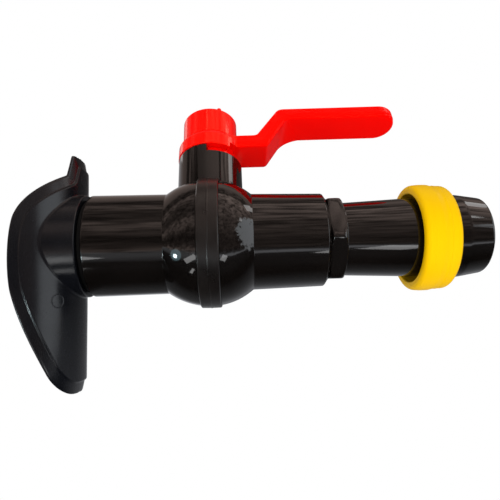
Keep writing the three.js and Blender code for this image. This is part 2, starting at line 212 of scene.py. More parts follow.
# Mesh making
def rounded(corners, closed=True, arc_step=16):
    """A line through (u, v, radius) corners, with each corner turned by an arc of its radius."""
    points = []
    last = len(corners) - 1
    for i, (u, v, radius) in enumerate(corners):
        here = Vector((u, v))
        if radius <= 0 or (not closed and i in (0, last)):
            points.append(here)
            continue
        back = (Vector(corners[i - 1][:2]) - here).normalized()
        ahead = (Vector(corners[(i + 1) % len(corners)][:2]) - here).normalized()
        half = back.angle(ahead) / 2
        reach = radius / math.tan(half)
        centre = here + (back + ahead).normalized() * radius / math.sin(half)
        start = here + back * reach - centre
        end = here + ahead * reach - centre
        sweep = start.angle_signed(end)
        steps = max(2, math.ceil(abs(math.degrees(sweep)) / arc_step))
        for k in range(steps + 1):
            angle = -sweep * k / steps
            points.append(centre + Matrix.Rotation(angle, 2) @ start)
    return points


def mesh_object(name, bm):
    """Turns a bmesh in millimetres from the ball's centre into an object in metres."""
    bmesh.ops.remove_doubles(bm, verts=bm.verts, dist=1e-5)
    bmesh.ops.recalc_face_normals(bm, faces=bm.faces)
    bm.transform(Matrix.Translation(BALL) @ Matrix.Scale(MM, 4))
    mesh = bpy.data.meshes.new(name)
    bm.to_mesh(mesh)
    bm.free()
    piece = bpy.data.objects.new(name, mesh)
    bpy.context.scene.collection.objects.link(piece)
    return piece


def bridge(bm, rows, closed):
    """Joins rows of points into faces. A row of one point is a pole."""
    pairs = list(zip(rows, rows[1:]))
    if closed:
        pairs.append((rows[-1], rows[0]))
    for one, two in pairs:
        count = max(len(one), len(two))
        for i in range(count):
            j = (i + 1) % count
            corners = [one[i % len(one)], one[j % len(one)], two[j % len(two)], two[i % len(two)]]
            corners = list(dict.fromkeys(corners))
            if len(corners) > 2:
                bm.faces.new(corners)


def revolve(name, profile, axis="X", sides=SIDES, drop=0.0):
    """Turns (along, radius) points about X or Z. A radius may be a function of the angle."""
    bm = bmesh.new()
    rows = []
    for along, radius in profile:
        if not callable(radius) and radius < 1e-6:
            place = (along, 0, -drop) if axis == "X" else (0, 0, along)
            rows.append([bm.verts.new(place)])
            continue
        row = []
        for i in range(sides):
            angle = math.tau * i / sides
            reach = radius(angle) if callable(radius) else radius
            u, v = reach * math.cos(angle), reach * math.sin(angle)
            row.append(bm.verts.new((along, u, v - drop) if axis == "X" else (u, v, along)))
        rows.append(row)
    bridge(bm, rows, closed=len(rows[0]) > 1)
    return mesh_object(name, bm)


def skin(name, columns):
    """A closed solid from closed columns of points, one after another all the way round."""
    bm = bmesh.new()
    bridge(bm, [[bm.verts.new(p) for p in column] for column in columns], closed=True)
    return mesh_object(name, bm)


def sector(name, profile, start, end, step=2.0):
    """A closed (height, radius) profile swept about Z from one angle to another, in degrees."""
    bm = bmesh.new()
    count = math.ceil((end - start) / step)
    rows = []
    for i in range(count + 1):
        angle = math.radians(start + (end - start) * i / count)
        rows.append(
            [bm.verts.new((r * math.cos(angle), r * math.sin(angle), z)) for z, r in profile]
        )
    bridge(bm, rows, closed=False)
    bm.faces.new(rows[0])
    bm.faces.new(rows[-1])
    return mesh_object(name, bm)


def block(name, low, high):
    """A box for cutting other pieces."""
    bm = bmesh.new()
    bmesh.ops.create_cube(bm, size=1)
    size = Vector(high) - Vector(low)
    middle = (Vector(high) + Vector(low)) / 2
    bm.transform(Matrix.Translation(middle) @ Matrix.Diagonal((*size, 1)))
    return mesh_object(name, bm)


def slab(name, low, high):
    """A box between two places along X that reaches past the object every other way."""
    return block(name, (low, -FAR, -FAR), (high, FAR, FAR))


def combine(piece, other, operation):
    """Joins other to piece, or cuts piece with it, and uses other up."""
    modifier = piece.modifiers.new("cut", "BOOLEAN")
    modifier.solver = "EXACT"
    modifier.operation = operation
    modifier.object = other
    bpy.context.view_layer.update()
    graph = bpy.context.evaluated_depsgraph_get()
    mesh = bpy.data.meshes.new_from_object(piece.evaluated_get(graph))
    piece.modifiers.clear()
    piece.data = mesh
    bpy.data.objects.remove(other)
    return piece


def copied(piece, name):
    twin = piece.copy()
    twin.data = piece.data.copy()
    twin.name = name
    bpy.context.scene.collection.objects.link(twin)
    return twin


def finished(piece, body, material, slot, *nodes, sharp=38, bevel=0.0):
    """Shades a piece, gives it its material, and hands it to the frame."""
    if bevel:
        edge = piece.modifiers.new("edge", "BEVEL")
        edge.width = bevel * MM
        edge.segments = 2
        edge.limit_method = "ANGLE"
        edge.angle_limit = math.radians(sharp)
    piece.data.shade_smooth()
    piece.data.set_sharp_from_angle(angle=math.radians(sharp))
    normals = piece.modifiers.new("normals", "WEIGHTED_NORMAL")
    normals.keep_sharp = True
    piece.data.materials.clear()
    piece.data.materials.append(material)
    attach(piece, body)
    if nodes:
        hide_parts(*nodes)
    return piece


# Materials
def tree_tools(tree, place):
    """Short ways to add nodes to a tree, with its textures laid out by place."""

    def stretched(scale):
        mapping = tree.nodes.new("ShaderNodeMapping")
        mapping.inputs["Scale"].default_value = scale
        tree.links.new(place, mapping.inputs["Vector"])
        return mapping.outputs["Vector"]

    def noise(scale, detail=4, roughness=0.5, stretch=None, distortion=0.0):
        texture = tree.nodes.new("ShaderNodeTexNoise")
        texture.inputs["Scale"].default_value = scale
        texture.inputs["Detail"].default_value = detail
        texture.inputs["Roughness"].default_value = roughness
        texture.inputs["Distortion"].default_value = distortion
        tree.links.new(stretched(stretch) if stretch else place, texture.inputs["Vector"])
        return texture.outputs["Fac"]

    def ramp(source, *stops):
        node = tree.nodes.new("ShaderNodeValToRGB")
        elements = node.color_ramp.elements
        while len(elements) < len(stops):
            elements.new(0.5)
        for element, (position, colour) in zip(elements, stops):
            element.position = position
            element.color = (*colour, 1)
        tree.links.new(source, node.inputs["Fac"])
        return node.outputs["Color"]

    def spread(source, low, high, from_low=0.3, from_high=0.7, blend="LINEAR"):
        node = tree.nodes.new("ShaderNodeMapRange")
        node.interpolation_type = blend
        node.inputs["From Min"].default_value = from_low
        node.inputs["From Max"].default_value = from_high
        node.inputs["To Min"].default_value = low
        node.inputs["To Max"].default_value = high
        tree.links.new(source, node.inputs["Value"])
        return node.outputs["Result"]

    def maths(operation, one, two=0.0):
        node = tree.nodes.new("ShaderNodeMath")
        node.operation = operation
        for socket, value in zip(node.inputs, (one, two)):
            if isinstance(value, (int, float)):
                socket.default_value = value
            else:
                tree.links.new(value, socket)
        return node.outputs["Value"]

    return SimpleNamespace(
        tree=tree, place=place, noise=noise, ramp=ramp, spread=spread, maths=maths,
    )


def new_material(name):
    """A new material, with its node helpers."""
    material = bpy.data.materials.new(name)
    material.use_nodes = True
    tree = material.node_tree
    t = tree_tools(tree, tree.nodes.new("ShaderNodeTexCoord").outputs["Object"])
    t.material = material
    t.shader = tree.nodes["Principled BSDF"]
    return t


def feed(t, source, socket):
    """Leads a node's output to a socket of the shader."""
    t.tree.links.new(source, t.shader.inputs[socket])


def bump(t, heights):
    """Raises the surface by (source, strength, distance in millimetres) layers."""
    normal = None
    for source, strength, distance in heights:
        node = t.tree.nodes.new("ShaderNodeBump")
        node.inputs["Strength"].default_value = strength
        node.inputs["Distance"].default_value = distance * MM
        t.tree.links.new(source, node.inputs["Height"])
        if normal:
            t.tree.links.new(normal, node.inputs["Normal"])
        normal = node.outputs["Normal"]
    feed(t, normal, "Normal")


def from_stem(t):
    """Distance from the stem's axis."""
    shift = t.tree.nodes.new("ShaderNodeVectorMath")
    shift.operation = "MULTIPLY_ADD"
    shift.inputs[1].default_value = (1, 1, 0)
    shift.inputs[2].default_value = (-BALL.x, 0, 0)
    t.tree.links.new(t.place, shift.inputs[0])
    reach = t.tree.nodes.new("ShaderNodeVectorMath")
    reach.operation = "LENGTH"
    t.tree.links.new(shift.outputs["Vector"], reach.inputs[0])
    return reach.outputs["Value"]


def moulded(name, colours, gloss, peel, dust=0.0, polish=(0.5, 0.5), sheen=(1, 1, 1)):
    """Moulded plastic: mottled colour, uneven gloss, orange peel, hairline scratches and dust.

    colours are two shades, gloss is the roughness from its shiniest to its dullest, and peel is
    how deep the wavy surface is, in millimetres. polish is the strength of the shine away from
    the handle's hub and on it, and sheen is the shine's colour."""
    t = new_material(name)
    feed(t, t.ramp(t.noise(38, 3), (0.32, colours[0]), (0.68, colours[1])), "Base Color")
    hairlines = t.noise(900, 2, 0.6, stretch=(0.06, 1, 1), distortion=0.4)
    wear = t.spread(hairlines, 0, 0.07, 0.66, 0.72)
    gritty = t.spread(t.noise(2600, 1), 0, dust, 0.66, 0.74)
    base = t.spread(t.noise(70, 5), *gloss)
    feed(t, t.maths("ADD", t.maths("ADD", base, wear), gritty), "Roughness")
    t.shader.inputs["Specular Tint"].default_value = (*sheen, 1)
    away, on_hub = polish
    if away == on_hub:
        t.shader.inputs["Specular IOR Level"].default_value = away
    else:
        shine = t.spread(from_stem(t), on_hub, away, HUB_SHINE_R * MM, (HUB_SHINE_R + 1) * MM)
        feed(t, shine, "Specular IOR Level")
    bump(t, [(t.noise(130, 2), 1.0, peel), (t.noise(1500, 3), 0.6, 0.004)])
    return t.material


def turned_satin(name, colours, gloss):
    """Satin plastic left by spinning: fine lines that run round the X axis."""
    t = new_material(name)
    lines = t.noise(160, 4, 0.7, stretch=(16, 0.7, 0.7))
    cloud = t.noise(90, 4)
    mottle = t.maths("MULTIPLY", t.maths("ADD", lines, cloud), 0.5)
    feed(t, t.ramp(mottle, (0.36, colours[0]), (0.62, colours[1])), "Base Color")
    feed(t, t.spread(cloud, *gloss), "Roughness")
    bump(t, [(lines, 0.7, 0.05), (t.noise(700, 3), 0.5, 0.02)])
    return t.material


def brushed(name, colour):
    """Brushed metal: fine lines across the X axis."""
    t = new_material(name)
    lines = t.noise(400, 3, stretch=(1, 12, 12))
    shade = tuple(0.85 * c for c in colour)
    feed(t, t.ramp(lines, (0.3, shade), (0.7, colour)), "Base Color")
    t.shader.inputs["Metallic"].default_value = 1.0
    feed(t, t.spread(lines, 0.22, 0.4), "Roughness")
    bump(t, [(lines, 0.4, 0.01)])
    return t.material


GLOSS_BLACK = moulded("gloss_black", ((0.0022, 0.0017, 0.0015), (0.0034, 0.0026, 0.0023)),
                      (0.035, 0.075), 0.016, dust=0.15)
SADDLE_BLACK = moulded("saddle_black", ((0.0026, 0.0028, 0.0040), (0.0038, 0.0043, 0.0058)),
                       (0.17, 0.25), 0.03, dust=0.15, polish=(0.36, 0.36))
SATIN_BLACK = turned_satin("satin_black", ((0.0035, 0.0026, 0.0023), (0.0075, 0.0055, 0.0048)),
                           (0.27, 0.38))
RED = moulded("red", ((0.90, 0.0012, 0.0006), (0.95, 0.0018, 0.0007)), (0.08, 0.15), 0.02,
              dust=0.1, polish=(0.05, 0.32), sheen=(1, 0.72, 0.32))
YELLOW = moulded("yellow", ((0.71, 0.41, 0.0005), (0.76, 0.44, 0.0008)), (0.36, 0.5), 0.03,
                 dust=0.1, polish=(0.06, 0.06), sheen=(1, 0.9, 0.2))
RUBBER = moulded("rubber", ((0.0015, 0.0015, 0.0015), (0.003, 0.003, 0.003)), (0.6, 0.8), 0.04,
                 polish=(0.2, 0.2))
WHITE = moulded("white_plastic", ((0.72, 0.71, 0.67), (0.80, 0.79, 0.75)), (0.2, 0.35), 0.02)
STEEL = brushed("steel", (0.58, 0.59, 0.61))


# The saddle
def plate_edge():
    """Half of the plate's outline, as (degrees round the main pipe, millimetres along it)."""
    curves = [
        [(16.5, 44.3), (19.1, 44.2), (20.5, 43.4), (20.7, 41.8)],
        [(20.7, 41.8), (22.4, 38.9), (24.1, 36.1), (25.8, 33.2)],
        [(25.8, 33.2), (45, 28.2), (68.1, 20.8), (74.5, 10.4)],
        [(74.5, 10.4), (79, 1.5), (78.2, -14), (74.6, -22.8)],
        [(74.6, -22.8), (67.9, -36), (55.4, -48.9), (42.3, -60.6)],
        [(42.3, -60.6), (34, -67.4), (20, -70.6), (9, -70.6)],
    ]
    points = []
    for a, b, c, d in curves:
        for k in range(24):
            t = k / 24
            weights = ((1 - t) ** 3, 3 * t * (1 - t) ** 2, 3 * t * t * (1 - t), t ** 3)
            points.append(tuple(
                sum(w * p[axis] for w, p in zip(weights, (a, b, c, d))) for axis in (0, 1)
            ))
    points.append(curves[-1][-1])
    return points


def plate_outline():
    """The whole outline, unrolled flat, in millimetres."""
    half = [(math.radians(a) * PLATE_R, along) for a, along in plate_edge()]
    return [Vector(p) for p in half] + [Vector((-s, along)) for s, along in reversed(half)]


def nearest_edge(outline):
    """A search tree of close-set points along a closed line."""
    runs = list(zip(outline, outline[1:] + outline[:1]))
    tree = KDTree(8 * len(runs))
    for i, (a, b) in enumerate(runs):
        for k in range(8):
            tree.insert((*a.lerp(b, k / 8), 0), 8 * i + k)
    tree.balance()
    return tree


def edge_reach(outline, direction):
    """How far along a direction from the boss's axis the outline is."""
    across = Vector((-direction.y, direction.x))
    for a, b in zip(outline, outline[1:] + outline[:1]):
        side_a, side_b = a.dot(across), b.dot(across)
        if side_a * side_b <= 0 and side_a != side_b:
            crossing = a.lerp(b, side_a / (side_a - side_b))
            if crossing.dot(direction) > 0:
                return crossing.dot(direction)
    return 0.0


def inset_point(tree, direction, reach, depth):
    """The place along a direction that is a given depth in from the edge."""
    near, far = 12.0, reach
    for _ in range(18):
        middle = (near + far) / 2
        if tree.find((*direction * middle, 0))[2] > depth:
            near = middle
        else:
            far = middle
    return direction * (reach if depth == 0 else near)


def bevel_radius(depth):
    """The plate's outside radius at a depth in from its edge: a low rim, then a short step up."""
    slope = min(1.0, depth / PLATE_BEVEL)
    rise = max(0.0, min(1.0, (depth - PLATE_BEVEL + PLATE_STEP) / PLATE_STEP))
    step = rise * rise * (3 - 2 * rise)
    edge = 0.5 * max(0.0, 1 - depth / 0.6) ** 2
    return PLATE_R - PLATE_BEVEL_DROP + 1.2 * slope + (PLATE_BEVEL_DROP - 1.2) * step - edge


def saddle_point(s, along, radius):
    """A point of the bent plate from its unrolled place, in millimetres from the ball's centre."""
    angle = s / PLATE_R
    place = Vector((radius * math.cos(angle), radius * math.sin(angle), along))
    return Matrix.Rotation(MAIN_PIPE_TURN, 3, "X") @ place + Vector((MAIN_X, 0, 0))


def boss_point(angle, radius, x):
    """A point round the boss's axis, in millimetres from the ball's centre."""
    place = Vector((x, radius * math.cos(angle), radius * math.sin(angle)))
    return Matrix.Rotation(MAIN_PIPE_TURN, 3, "X") @ place


def surface_x(angle, radius, pipe_r):
    """Height of the main pipe's surface, or the plate's, under a point round the boss's axis."""
    return MAIN_X + math.sqrt(pipe_r ** 2 - (radius * math.cos(angle)) ** 2)


def unrolled(angle, radius, pipe_r):
    """The unrolled place of a point round the boss's axis, on a surface of a radius."""
    across = PLATE_R * math.asin(radius * math.cos(angle) / pipe_r)
    return Vector((across, radius * math.sin(angle)))


def plate_outside(inset, foot):
    """Points from the plate's edge to the boss's foot."""
    depths = [0.0, 0.2, 0.6, 1.4, 2.6, 3.8, 4.5, 4.8, 4.95, 5.1, 5.25, 5.4, 5.6, 5.9, 6.6]
    column = [saddle_point(*inset(depth), bevel_radius(depth)) for depth in depths]
    last = inset(depths[-1])
    for share in (0.12, 0.28, 0.46, 0.64, 0.82):
        column.append(saddle_point(*last.lerp(foot, share), PLATE_R))
    return column


def boss_line(angle):
    """Points up the fillet and the boss, over the nipple and down into its bore."""
    column = []
    for k in range(7):
        turn = math.radians(15 * k)
        radius = BOSS_R + BOSS_FILLET * (1 - math.sin(turn))
        lift = BOSS_FILLET * (1 - math.cos(turn))
        column.append(boss_point(angle, radius, surface_x(angle, radius, PLATE_R) + lift))
    start = surface_x(angle, BOSS_R, PLATE_R) + BOSS_FILLET
    for share in (0.25, 0.5, 0.75):
        column.append(boss_point(angle, BOSS_R, start + (BOSS_END - 0.7 - start) * share))
    shoulder = rounded([
        (BOSS_END - 0.7, BOSS_R, 0),
        (BOSS_END, BOSS_R, 0.6),
        (BOSS_END, NIPPLE_R, 0.3),
        (NIPPLE_END, NIPPLE_R, 0.8),
        (NIPPLE_END, SADDLE_BORE_R, 0.8),
        (MAIN_X + 31, SADDLE_BORE_R, 0),
    ], closed=False)
    return column + [boss_point(angle, radius, x) for x, radius in shoulder]


def plate_inside(angle, inset):
    """Points from the bore, out along the plate's inside and round its edge."""
    column = []
    for radius in (SADDLE_BORE_R, SADDLE_BORE_R + 0.5, 20, 24):
        column.append(boss_point(angle, radius, surface_x(angle, radius, PLATE_INNER_R)))
    foot = unrolled(angle, 25.5, PLATE_INNER_R)
    brink = inset(0.4)
    for share in (0, 0.3, 0.6, 0.85, 1):
        column.append(saddle_point(*foot.lerp(brink, share), PLATE_INNER_R))
    column.append(saddle_point(*inset(0.2), PLATE_INNER_R + 0.08))
    column.append(saddle_point(*inset(0.0), PLATE_INNER_R + 0.35))
    return column


def saddle_plate():
    outline = plate_outline()
    tree = nearest_edge(outline)
    columns = []
    for i in range(SADDLE_SIDES):
        angle = math.tau * i / SADDLE_SIDES
        foot = unrolled(angle, BOSS_FOOT_R, PLATE_R)
        direction = foot.normalized()
        inset = partial(inset_point, tree, direction, edge_reach(outline, direction))
        columns.append(plate_outside(inset, foot) + boss_line(angle) + plate_inside(angle, inset))
    piece = skin("saddle_plate_fine", columns)
    finished(piece, "valve_body", SADDLE_BLACK, "gloss_black", "saddle_plate", sharp=42)


def saddle_seal():
    outer = PLATE_INNER_R - GAP
    radii = [SEAL_INNER_R, 18.8, 20.75, 22.7, SEAL_OUTER_R]
    columns = []
    for i in range(SIDES):
        angle = math.tau * i / SIDES
        top = [boss_point(angle, r, surface_x(angle, r, outer)) for r in radii]
        under = [boss_point(angle, r, surface_x(angle, r, outer - SEAL_WALL)) for r in radii]
        columns.append(top + under[::-1])
    piece = skin("saddle_seal_fine", columns)
    finished(piece, "valve_body", RUBBER, "black_rubber", "saddle_seal", bevel=0.25)


def saddle_marks():
    """Round ejector marks that stand a little proud of the plate, bent to its round."""
    turn = Matrix.Rotation(MAIN_PIPE_TURN, 4, "X")
    for number, (degrees, along) in enumerate([(-4.6, 32.4), (-36.4, -27.3)], 1):
        mark = revolve(f"saddle_mark_{number}", rounded([
            (-0.5, 0, 0),
            (-0.5, SADDLE_MARK_R, 0),
            (0.1, SADDLE_MARK_R, 0.08),
            (0.1, SADDLE_MARK_R - 0.3, 0.08),
            (0.03, SADDLE_MARK_R - 0.6, 0.08),
            (0.03, 2, 0),
            (0.03, 1, 0),
            (0.03, 0, 0),
        ], closed=False), sides=64)
        for vertex in mark.data.vertices:
            vertex.co.x -= vertex.co.y ** 2 / (2 * PLATE_R * MM)
        angle = math.radians(degrees)
        spot = Vector((PLATE_R * math.cos(angle), PLATE_R * math.sin(angle), along)) * MM
        lean = Matrix.Rotation(angle, 4, "Z")
        mark.data.transform(turn @ Matrix.Translation(spot) @ lean @ Matrix.Translation(-BALL))
        finished(mark, "valve_body", SADDLE_BLACK, "gloss_black")


# The casing
def shell_x(half_length, radius):
    return half_length * math.sqrt(1 - (radius / SHELL_R) ** 2)


def shell_arc(half_length, start_x, end_x, steps=26):
    start, end = math.asin(start_x / half_length), math.asin(end_x / half_length)
    angles = [start + (end - start) * k / steps for k in range(steps + 1)]
    return [Vector((half_length * math.sin(a), SHELL_R * math.cos(a))) for a in angles]


def soft_join(before, after, radius):
    """The last point of a line before a corner, an arc round it, and the first point after it."""
    corner = before[-1]
    line = rounded([(*before[-2], 0), (*corner, radius), (*after[1], 0)], closed=False)
    return before[:-1] + line[1:-1] + after[1:]


def casing_shell():
    inlet_join = -shell_x(INLET_SHELL, INLET_ROOT_R)
    outlet_join = shell_x(OUTLET_SHELL, OUTLET_ROOT_R)
    inlet = rounded([
        (INLET_END, SOCKET_R, 0.5),
        (INLET_END, INLET_END_R, 0.9),
        (inlet_join, INLET_ROOT_R, 0),
    ], closed=False)
    inlet = [Vector((INLET_END, SOCKET_R + 0.4))] + inlet[1:]
    line = soft_join(inlet, shell_arc(INLET_SHELL, inlet_join, 0), 0.8)
    line = line + shell_arc(OUTLET_SHELL, 0, outlet_join)[1:]
    outlet = rounded([
        (outlet_join, OUTLET_ROOT_R, 0),
        (OUTLET_END - 1.5, OUTLET_END_R, 0.6),
        (OUTLET_END, OUTLET_RIM_R, 0.3),
        (OUTLET_END, THREAD_R, 0),
    ], closed=False)
    line = soft_join(line, outlet, 0.8)
    hollow = [
        (THREAD_FLOOR, THREAD_R), (THREAD_FLOOR, BORE_R), (SEAT_POCKET_END, BORE_R),
        (SEAT_POCKET_END, SEAT_POCKET_R), (CAVITY_HALF, SEAT_POCKET_R), (CAVITY_HALF, CAVITY_R),
        (-CAVITY_HALF, CAVITY_R), (-CAVITY_HALF, SEAT_POCKET_R), (-SEAT_POCKET_END, SEAT_POCKET_R),
        (-SEAT_POCKET_END, BORE_R), (SOCKET_FLOOR, BORE_R), (SOCKET_FLOOR, SOCKET_R),
        (INLET_END + 0.4, SOCKET_R),
    ]
    return revolve("casing", line + [Vector(p) for p in hollow])


def neck_tube(name, half_width=None):
    """The neck with the stop sector on it, whole or only within a width of the stem.

    Its pilot bore is narrower than the stem hole that is drilled through it later."""
    pilot_r = STEM_BORE_R - 1
    tube = revolve(name, rounded([
        (CAVITY_R - 0.6, pilot_r, 0),
        (CAVITY_R - 0.6, NECK_R - 1.5, 0),
        (CAVITY_R + 0.2, NECK_R, 0),
        (NECK_TOP, NECK_R, 0.45),
        (NECK_TOP, pilot_r, 0),
    ]), axis="Z")
    stop = sector(name + "_stop", rounded([
        (NECK_TOP - 1, pilot_r + 0.2, 0),
        (NECK_TOP - 1, NECK_R - 0.001, 0),
        (STOP_TOP, NECK_R - 0.001, 0.45),
        (STOP_TOP, pilot_r + 0.2, 0),
    ]), STOP_START, STOP_END)
    combine(tube, stop, "UNION")
    if half_width:
        combine(tube, slab(name + "_slab", -half_width, half_width), "INTERSECT")
    return tube


def stem_hole():
    """The room for the stem and its flange, for cutting."""
    return revolve("stem_hole", rounded([
        (CAVITY_R - 3, 0, 0),
        (CAVITY_R - 3, STEM_FLANGE_R, 0),
        (STEM_FLANGE_TOP, STEM_FLANGE_R, 0),
        (STEM_FLANGE_TOP, STEM_BORE_R, 0),
        (STOP_TOP + 3, STEM_BORE_R, 0),
        (STOP_TOP + 3, 0, 0),
    ]), axis="Z", sides=96)


def casing():
    """The two halves of the casing, cut from one shell on both sides of the weld band."""
    whole = combine(casing_shell(), neck_tube("neck"), "UNION")
    combine(whole, stem_hole(), "DIFFERENCE")
    strip = revolve("strip", rounded([
        (CAVITY_R - 2, 0, 0), (CAVITY_R - 2, NECK_R, 0), (STOP_TOP + 3, NECK_R, 0),
        (STOP_TOP + 3, 0, 0),
    ], closed=False), axis="Z")
    strip_seam = STRIP_HALF + SEAM_GAP
    combine(strip, slab("strip_slab", -strip_seam, strip_seam), "INTERSECT")
    combine(whole, strip, "DIFFERENCE")
    seam = BAND_HALF + SEAM_GAP
    for name, low, high in (("inlet", INLET_END - 5, -seam), ("outlet", seam, OUTLET_END + 5)):
        half = copied(whole, f"body_{name}_half_fine")
        combine(half, slab("side", low, high), "INTERSECT")
        finished(half, "valve_body", GLOSS_BLACK, "gloss_black", f"body_{name}_half", sharp=33)
    bpy.data.objects.remove(whole)


def weld_band():
    """The band round the ball, with a fine ridge along its middle and a strip up the neck."""
    ridge = 0.12
    ring = revolve("weld_band_fine", rounded([
        (-BAND_HALF, CAVITY_R, 0.2),
        (-BAND_HALF, BAND_R - 0.7, 0.15),
        (-BAND_HALF + 0.45, BAND_R - 0.15, 0.4),
        (-0.45, BAND_R - 0.05, 0.15),
        (0, BAND_R + ridge, 0.1),
        (0.45, BAND_R - 0.05, 0.15),
        (BAND_HALF - 0.45, BAND_R - 0.15, 0.4),
        (BAND_HALF, BAND_R - 0.7, 0.15),
        (BAND_HALF, CAVITY_R, 0.2),
    ]))
    combine(ring, neck_tube("band_neck", STRIP_HALF), "UNION")
    combine(ring, stem_hole(), "DIFFERENCE")
    finished(ring, "valve_body", SATIN_BLACK, "satin_black", "weld_band", sharp=33)


def inlet_ring():
    ring = revolve("inlet_ring_fine", rounded([
        (BOSS_END + 0.2, NIPPLE_R + GAP, 0.5),
        (BOSS_END + 0.2, 22.9, 0.6),
        (INLET_END - 0.2, 22.9, 0.6),
        (INLET_END - 0.2, NIPPLE_R + GAP, 0.5),
    ]))
    finished(ring, "valve_body", RUBBER, "black_rubber", "inlet_ring")


# The ball and its seats
def ball():
    reach = math.sqrt(BALL_R ** 2 - BORE_R ** 2)
    start = math.atan2(BORE_R, -reach)
    end = math.atan2(BORE_R, reach)
    arc = [start + (end - start) * k / 40 for k in range(41)]
    line = [Vector((BALL_R * math.cos(a), BALL_R * math.sin(a))) for a in arc]
    piece = revolve("ball_fine", line)
    slot_floor = cad("stem")[0].z - GAP
    slot = block("slot", (*-SLOT_HALF, slot_floor), (*SLOT_HALF, BALL_R + 1))
    combine(piece, slot, "DIFFERENCE")
    finished(piece, "ball", WHITE, "white_plastic", "ball", sharp=30)


def seats():
    face_r = BALL_R + GAP
    angles = [math.asin(SEAT_INNER_R / face_r) + 0.028 * k for k in range(8)]
    face = [(face_r * math.cos(a), face_r * math.sin(a)) for a in angles]
    back = [(SEAT_FRONT, SEAT_OUTER_R), (SEAT_BACK, SEAT_OUTER_R), (SEAT_BACK, BORE_R)]
    line = face + back
    for name, side in (("inlet", -1), ("outlet", 1)):
        piece = revolve(f"seat_{name}_fine", [Vector((side * x, r)) for x, r in line])
        finished(piece, "valve_body", WHITE, "white_plastic", f"seat_{name}", sharp=30)


# The handle
def curve_points(curves, steps):
    """Points along Bezier curves that follow each other, with a number of steps for each."""
    points = []
    for curve, count in zip(curves, steps):
        for k in range(count):
            spots = [Vector(p) for p in curve]
            while len(spots) > 1:
                spots = [a.lerp(b, k / count) for a, b in zip(spots, spots[1:])]
            points.append(spots[0])
    return points + [Vector(curves[-1][-1])]


def lever_lines(bend):
    """Matching points along the lever's underside and its top, as pairs of (x, z)."""
    start, lean, end = ((x, LEVER_HIGH - drop) for x, drop in bend)
    tip = LEVER_TIP - LEVER_HALF
    steps = (14, 6, 8, 12, 20)
    under = curve_points([
        [(4, LEVER_LOW), (29.6, LEVER_LOW)],
        [(29.6, LEVER_LOW), (31, LEVER_LOW), (31.8, LEVER_LOW + 1.4)],
        [(31.8, LEVER_LOW + 1.4), start],
        [start, lean, end],
        [end, (tip, LEVER_HIGH)],
    ], steps)
    above = curve_points([
        [(4, LEVER_SHELF), (23.4, LEVER_SHELF)],
        [(23.4, LEVER_SHELF), (25.2, LEVER_SHELF), (26.2, LEVER_SHELF + 1)],
        [(26.2, LEVER_SHELF + 1), (37.1, LEVER_TOP - 1.75)],
        [(37.1, LEVER_TOP - 1.75), (38.6, LEVER_TOP), (41.3, LEVER_TOP)],
        [(41.3, LEVER_TOP), (tip, LEVER_TOP)],
    ], steps)
    return list(zip(under, above))


def lever_section():
    """Points of the edge from the underside's rim to the top's rim, as (height share, inset)."""
    low, top, draft = 1.5, 1.0, 0.22
    turns = [math.radians(a) for a in range(0, 91, 18)]
    below = [(low - low * math.cos(a), low - low * math.sin(a) + draft) for a in turns]
    seam = [(0.38, 0.05), (0.42, 0), (0.46, 0.05)]
    above = [(LEVER_THICK - top + top * math.sin(a), top - top * math.cos(a) + draft)
             for a in turns]
    below, above = ([(height / LEVER_THICK, inset) for height, inset in rim]
                    for rim in (below, above))
    return below + seam + above


def lever_side(lines, way, share, inset):
    """One layer of one side, from the hub to just short of the tip. way is 1 at +Y, -1 at -Y."""
    side = []
    for low, high in lines:
        x, z = low.lerp(high, share)
        flare = max(0.0, min(1.0, (14 - x) / 3.5))
        side.append((x, way * (LEVER_HALF + 1.6 * flare ** 2 - inset), z))
    radius = LEVER_HALF - inset
    for k in range(1, TIP_STEPS):
        turn = math.pi / 2 * k / TIP_STEPS
        side.append((x + radius * math.sin(turn), way * radius * math.cos(turn), z))
    return side


def lever_lid(bm, right, left):
    """Fills the lever's underside or top with rows of faces, and returns the row at the hub."""
    rows = []
    for a, b in zip(right[:-1], left[:-1]):
        inner = [bm.verts.new(a.co.lerp(b.co, k / LID_STEPS)) for k in range(1, LID_STEPS)]
        rows.append([a] + inner + [b])
    for one, two in zip(rows, rows[1:]):
        for i in range(LID_STEPS):
            bm.faces.new((one[i], one[i + 1], two[i + 1], two[i]))
    for i in range(LID_STEPS):
        bm.faces.new((rows[-1][i], rows[-1][i + 1], right[-1]))
    return rows[0]


def lever():
    """The cranked lever. Its underside's upper bend has a gusset on the +Y side only."""
    gusset = lever_lines(GUSSET_BEND)
    crisp = lever_lines(CRISP_BEND)
    bm = bmesh.new()
    layers = []
    for share, inset in lever_section():
        right = [bm.verts.new(p) for p in lever_side(gusset, 1, share, inset)]
        left = [bm.verts.new(p) for p in lever_side(crisp, -1, share, inset)]
        low, high = crisp[-1]
        x, z = low.lerp(high, share)
        tip = bm.verts.new((x + LEVER_HALF - inset, 0, z))
        layers.append((right + [tip], left + [tip]))
    for layer, above in zip(layers, layers[1:]):
        for one, two in zip(layer, above):
            for i in range(len(one) - 1):
                bm.faces.new((one[i], one[i + 1], two[i + 1], two[i]))
    under_end = lever_lid(bm, *layers[0])
    top_end = lever_lid(bm, *layers[-1])
    up = [right[0] for right, left in layers]
    down = [left[0] for right, left in reversed(layers)]
    bm.faces.new(up + top_end[1:-1] + down + under_end[-2:0:-1])
    return mesh_object("lever", bm)


